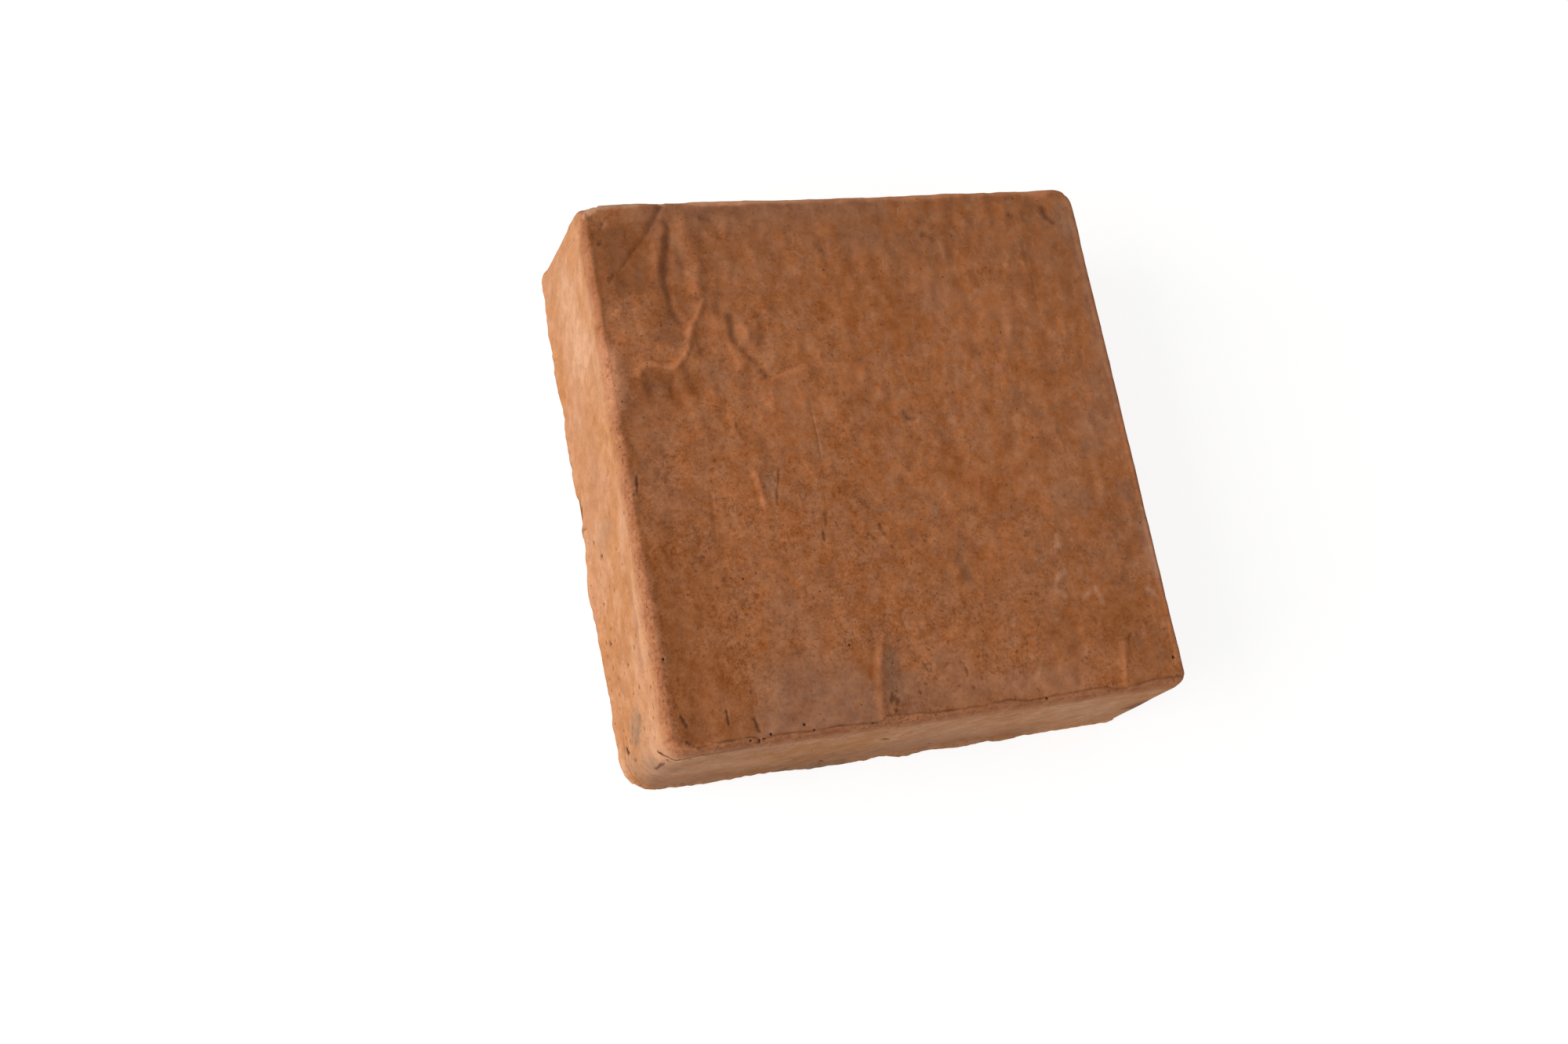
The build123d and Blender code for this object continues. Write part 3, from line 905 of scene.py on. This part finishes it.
# Noises: where each one is drawn, scale per millimetre, detail, roughness, distortion
noiseSet = {
    "streaks": ("drawn", 0.10, 3.5, 0.6, 0.0),
    "blotches": ("plain", 0.22, 3.0, 0.55, 0.6),
    "speckle": ("plain", 0.55, 4.0, 0.65, 0.0),
    "grit": ("plain", 0.9, 3.0, 0.8, 0.0),
    "clouds": ("plain", 0.035, 3.0, 0.5, 0.0),
    "flecks": ("elsewhere", 0.5, 3.0, 0.6, 1.2),
    "chips": ("drawn", 0.26, 3.5, 0.6, 1.4),
    "specks": ("elsewhere", 0.75, 2.0, 0.6, 0.5),
    "light": ("elsewhere", 0.19, 3.0, 0.55, 0.0),
    "patches": ("elsewhere", 0.06, 2.0, 0.5, 0.0),
}

# Stains and painted highlights in the order in which they are laid, and how fully each one covers
stainAndHighlightSet = {"cream": 1.0, "bloom": 0.8, "rust": 0.7, "smear": 1.0, "pale": 1.0, "wear": 1.0}


def addNode(tree, kind, inputs, **settings):
    made = tree.nodes.new("ShaderNode" + kind)
    for name, value in settings.items():
        setattr(made, name, value)
    for name, value in inputs.items():
        if isinstance(value, bpy.types.NodeSocket):
            tree.links.new(value, made.inputs[name])
        else:
            made.inputs[name].default_value = value
    return made


def newMaterial(name):
    material = bpy.data.materials.new(name)
    material.use_nodes = True
    material.node_tree.nodes.clear()
    return material, material.node_tree


def span(tree, value, low, high, toLow=0.0, toHigh=1.0):
    inputs = {"Value": value, "From Min": low, "From Max": high, "To Min": toLow, "To Max": toHigh}
    return addNode(tree, "MapRange", inputs).outputs["Result"]


def combine(tree, operation, first, second):
    return addNode(tree, "Math", {0: first, 1: second}, operation=operation).outputs[0]


def blendColour(tree, factor, first, second):
    made = addNode(tree, "Mix", {0: factor, 6: first, 7: second}, data_type="RGBA")
    return made.outputs[2]


# Cast concrete: mottled orange-brown face, paler sides, stains, fine grit and pinholes
def concreteMaterial():
    material, tree = newMaterial("castConcrete")
    tint = concreteSet
    mix = partial(blendColour, tree)
    ramp = partial(span, tree)
    plus = partial(combine, tree, "ADD")
    minus = partial(combine, tree, "SUBTRACT")
    times = partial(combine, tree, "MULTIPLY")
    place = tree.nodes.new("ShaderNodeTexCoord").outputs["Object"]
    scale = Vector((1, 1, 1)) / millimetre
    drawnScale = Vector((1, tint["drawnOut"], 1)) / millimetre
    plain = addNode(tree, "Mapping", {"Vector": place, "Scale": scale}).outputs[0]
    drawn = addNode(tree, "Mapping", {"Vector": place, "Scale": drawnScale}).outputs[0]
    moved = {"Vector": plain, "Location": tint["elsewhere"]}
    elsewhere = addNode(tree, "Mapping", moved).outputs[0]
    coords = {"plain": plain, "drawn": drawn, "elsewhere": elsewhere}
    noises = {}
    for name, (where, scale, detail, roughness, distortion) in noiseSet.items():
        inputs = {"Vector": coords[where], "Scale": scale, "Detail": detail, "Roughness": roughness,
                  "Distortion": distortion}
        noises[name] = addNode(tree, "TexNoise", inputs).outputs["Fac"]
    layers = {}
    for name in layerNames:
        layers[name] = addNode(tree, "Attribute", {}, attribute_name=name).outputs["Fac"]

    # Bloom and rust calm the grain, which is uneven from patch to patch
    smoother = minus(1.0, times(layers["bloom"], tint["bloomCalms"]))
    smoother = minus(smoother, times(layers["rust"], tint["rustCalms"]))
    uneven = times(smoother, ramp(noises["patches"], 0.38, 0.62, 0.7, 1.25))
    grain = times(layers["grit"], uneven)

    # The face wanders between grey-brown and orange-brown; rust and bloom push it either way
    mottle = times(plus(noises["streaks"], noises["blotches"]), 0.5)
    pull = minus(layers["rust"], layers["bloom"])
    tone = plus(mottle, times(pull, tint["stainPull"]))
    face = mix(ramp(tone, 0.46, 0.54), tint["faceGrey"], tint["faceOrange"])
    many = ramp(noises["clouds"], 0.36, 0.60, 0.3, 0.65)
    flecks = times(ramp(noises["flecks"], 0.58, 0.63), many)
    face = mix(flecks, face, tint["fleck"])
    many = ramp(layers["grit"], 0.3, 0.9, 0.55, 0.2)
    chips = times(ramp(noises["chips"], 0.57, 0.63), many)
    face = mix(chips, face, tint["chip"])

    clouds = ramp(noises["clouds"], 0.40, 0.60)
    side = mix(clouds, tint["sideDeep"], tint["side"])
    side = mix(ramp(mottle, 0.50, 0.62, 0.0, 0.6), side, tint["sidePale"])
    side = mix(ramp(mottle, 0.48, 0.36, 0.0, 0.6), side, tint["sideDeep"])
    strip = mix(layers["rim"], side, tint["rim"])
    shade = mix(layers["faceShare"], strip, face)

    # Each stain and painted highlight breaks up along the blotches
    broken = ramp(noises["blotches"], 0.35, 0.65, -0.35, 0.35)
    for name, most in stainAndHighlightSet.items():
        amount = times(layers[name], plus(broken, most))
        shade = mix(combine(tree, "MINIMUM", amount, 1.0), shade, tint[name])

    # Light and shade of the grain: a little tan more or less, and brown specks
    fine = times(ramp(noises["grit"], 0.3, 0.7, -0.24, 0.24), grain)
    middling = times(ramp(noises["speckle"], 0.3, 0.7, -0.15, 0.15), plus(grain, 0.2))
    coarse = plus(ramp(noises["light"], 0.3, 0.7, -0.19, 0.19), middling)
    lighter = {0: tint["tan"][:3], 1: plus(fine, coarse), 2: shade}
    shade = addNode(tree, "VectorMath", lighter, operation="MULTIPLY_ADD").outputs[0]
    sand = plus(noises["specks"], times(grain, 0.09))
    shade = mix(ramp(sand, 0.67, 0.77, 0.0, 0.5), shade, tint["speck"])
    # Dark marks, and the painted shade in grooves, holes and the border's crevice
    shade = mix(combine(tree, "MINIMUM", layers["dark"], 1.0), shade, tint["dark"])

    # Pinholes of many sizes, in about half of the cells, darkened with painted shade
    cells = addNode(tree, "TexVoronoi", {"Vector": plain, "Scale": tint["pinholeScale"]})
    sizes = addNode(tree, "SeparateColor", {"Color": cells.outputs["Color"]}).outputs[0]
    radius = ramp(sizes, 0.55, 1.0, 0.0, 0.11)
    hole = combine(tree, "LESS_THAN", cells.outputs["Distance"], radius)
    shade = mix(times(hole, tint["pinholeShade"]), shade, tint["dark"])

    # Grain, light hollows and pinholes stand out a little
    heights = plus(times(noises["grit"], 0.4), times(noises["speckle"], 0.6))
    heights = times(heights, plus(grain, 0.1))
    heights = plus(heights, times(noises["light"], 0.8))
    heights = minus(heights, hole)
    inputs = {"Strength": 0.8, "Distance": tint["bump"], "Height": heights}
    bump = addNode(tree, "Bump", inputs).outputs[0]
    surface = addNode(tree, "BsdfPrincipled", {
        "Base Color": shade, "Roughness": tint["roughness"],
        "Specular IOR Level": tint["specular"], "Normal": bump})
    addNode(tree, "OutputMaterial", {0: surface.outputs[0]})
    return material


block.data.materials.append(concreteMaterial())
print("concrete finished")

# Studio: white floor, a broad lamp low on the left, a weak one near right, and an even pale surround
studioSet = {
    "floorSize": 6.0,
    "floor": colour(212, 212, 212),
    "floorGlow": 0.5,              # share of glow that the camera sees in the floor
    "glowStrength": 1.6,
    "surround": (1.0, 0.99, 0.97, 1.0),
    "surroundStrength": 0.43,
    "lampPlace": (-1.5, -0.05, 0.75),
    "lampSize": 1.3,
    "lampPower": 25.5,
    "lampColour": (1.0, 0.965, 0.92),
    "fillPlace": (0.75, -1.0, 0.3),
    "fillSize": 0.6,
    "fillPower": 1.6,
    "lampAim": (0, 0, 0.03),
    "white": (1.0, 1.0, 1.0, 1.0),
}


def makeFloor():
    bm = bmesh.new()
    bmesh.ops.create_grid(bm, x_segments=1, y_segments=1, size=studioSet["floorSize"] / 2)
    mesh = bpy.data.meshes.new("studioFloor")
    bm.to_mesh(mesh)
    bm.free()
    floor = addObject("studioFloor", mesh)
    material, tree = newMaterial("paleFloor")
    matt = addNode(tree, "BsdfDiffuse", {"Color": studioSet["floor"]})
    glow = addNode(tree, "Emission", {"Color": studioSet["white"], "Strength": studioSet["glowStrength"]})
    seen = tree.nodes.new("ShaderNodeLightPath").outputs["Is Camera Ray"]
    share = combine(tree, "MULTIPLY", seen, studioSet["floorGlow"])
    mixed = addNode(tree, "MixShader", {0: share, 1: matt.outputs[0], 2: glow.outputs[0]})
    addNode(tree, "OutputMaterial", {0: mixed.outputs[0]})
    floor.data.materials.append(material)


def makeLamp(name, place, size, power):
    data = bpy.data.lights.new(name, "AREA")
    data.shape = "SQUARE"
    data.size = size
    data.energy = power
    data.color = studioSet["lampColour"]
    lamp = addObject(name, data)
    lamp.location = place
    aim = Vector(studioSet["lampAim"]) - Vector(place)
    lamp.rotation_euler = aim.to_track_quat("-Z", "Y").to_euler()


def makeSurround():
    world = bpy.data.worlds.new("studioSurround")
    bpy.context.scene.world = world
    world.use_nodes = True
    tree = world.node_tree
    tree.nodes.clear()
    inputs = {"Color": studioSet["surround"], "Strength": studioSet["surroundStrength"]}
    even = addNode(tree, "Background", inputs)
    white = addNode(tree, "Background", {"Color": studioSet["white"], "Strength": 1.0})
    seen = tree.nodes.new("ShaderNodeLightPath").outputs["Is Camera Ray"]
    mixed = addNode(tree, "MixShader", {0: seen, 1: even.outputs[0], 2: white.outputs[0]})
    addNode(tree, "OutputWorld", {0: mixed.outputs[0]})


makeFloor()
makeLamp("leftLamp", studioSet["lampPlace"], studioSet["lampSize"], studioSet["lampPower"])
makeLamp("fillLamp", studioSet["fillPlace"], studioSet["fillSize"], studioSet["fillPower"])
makeSurround()
bpy.context.scene.view_settings.view_transform = "Standard"
print("studio made")
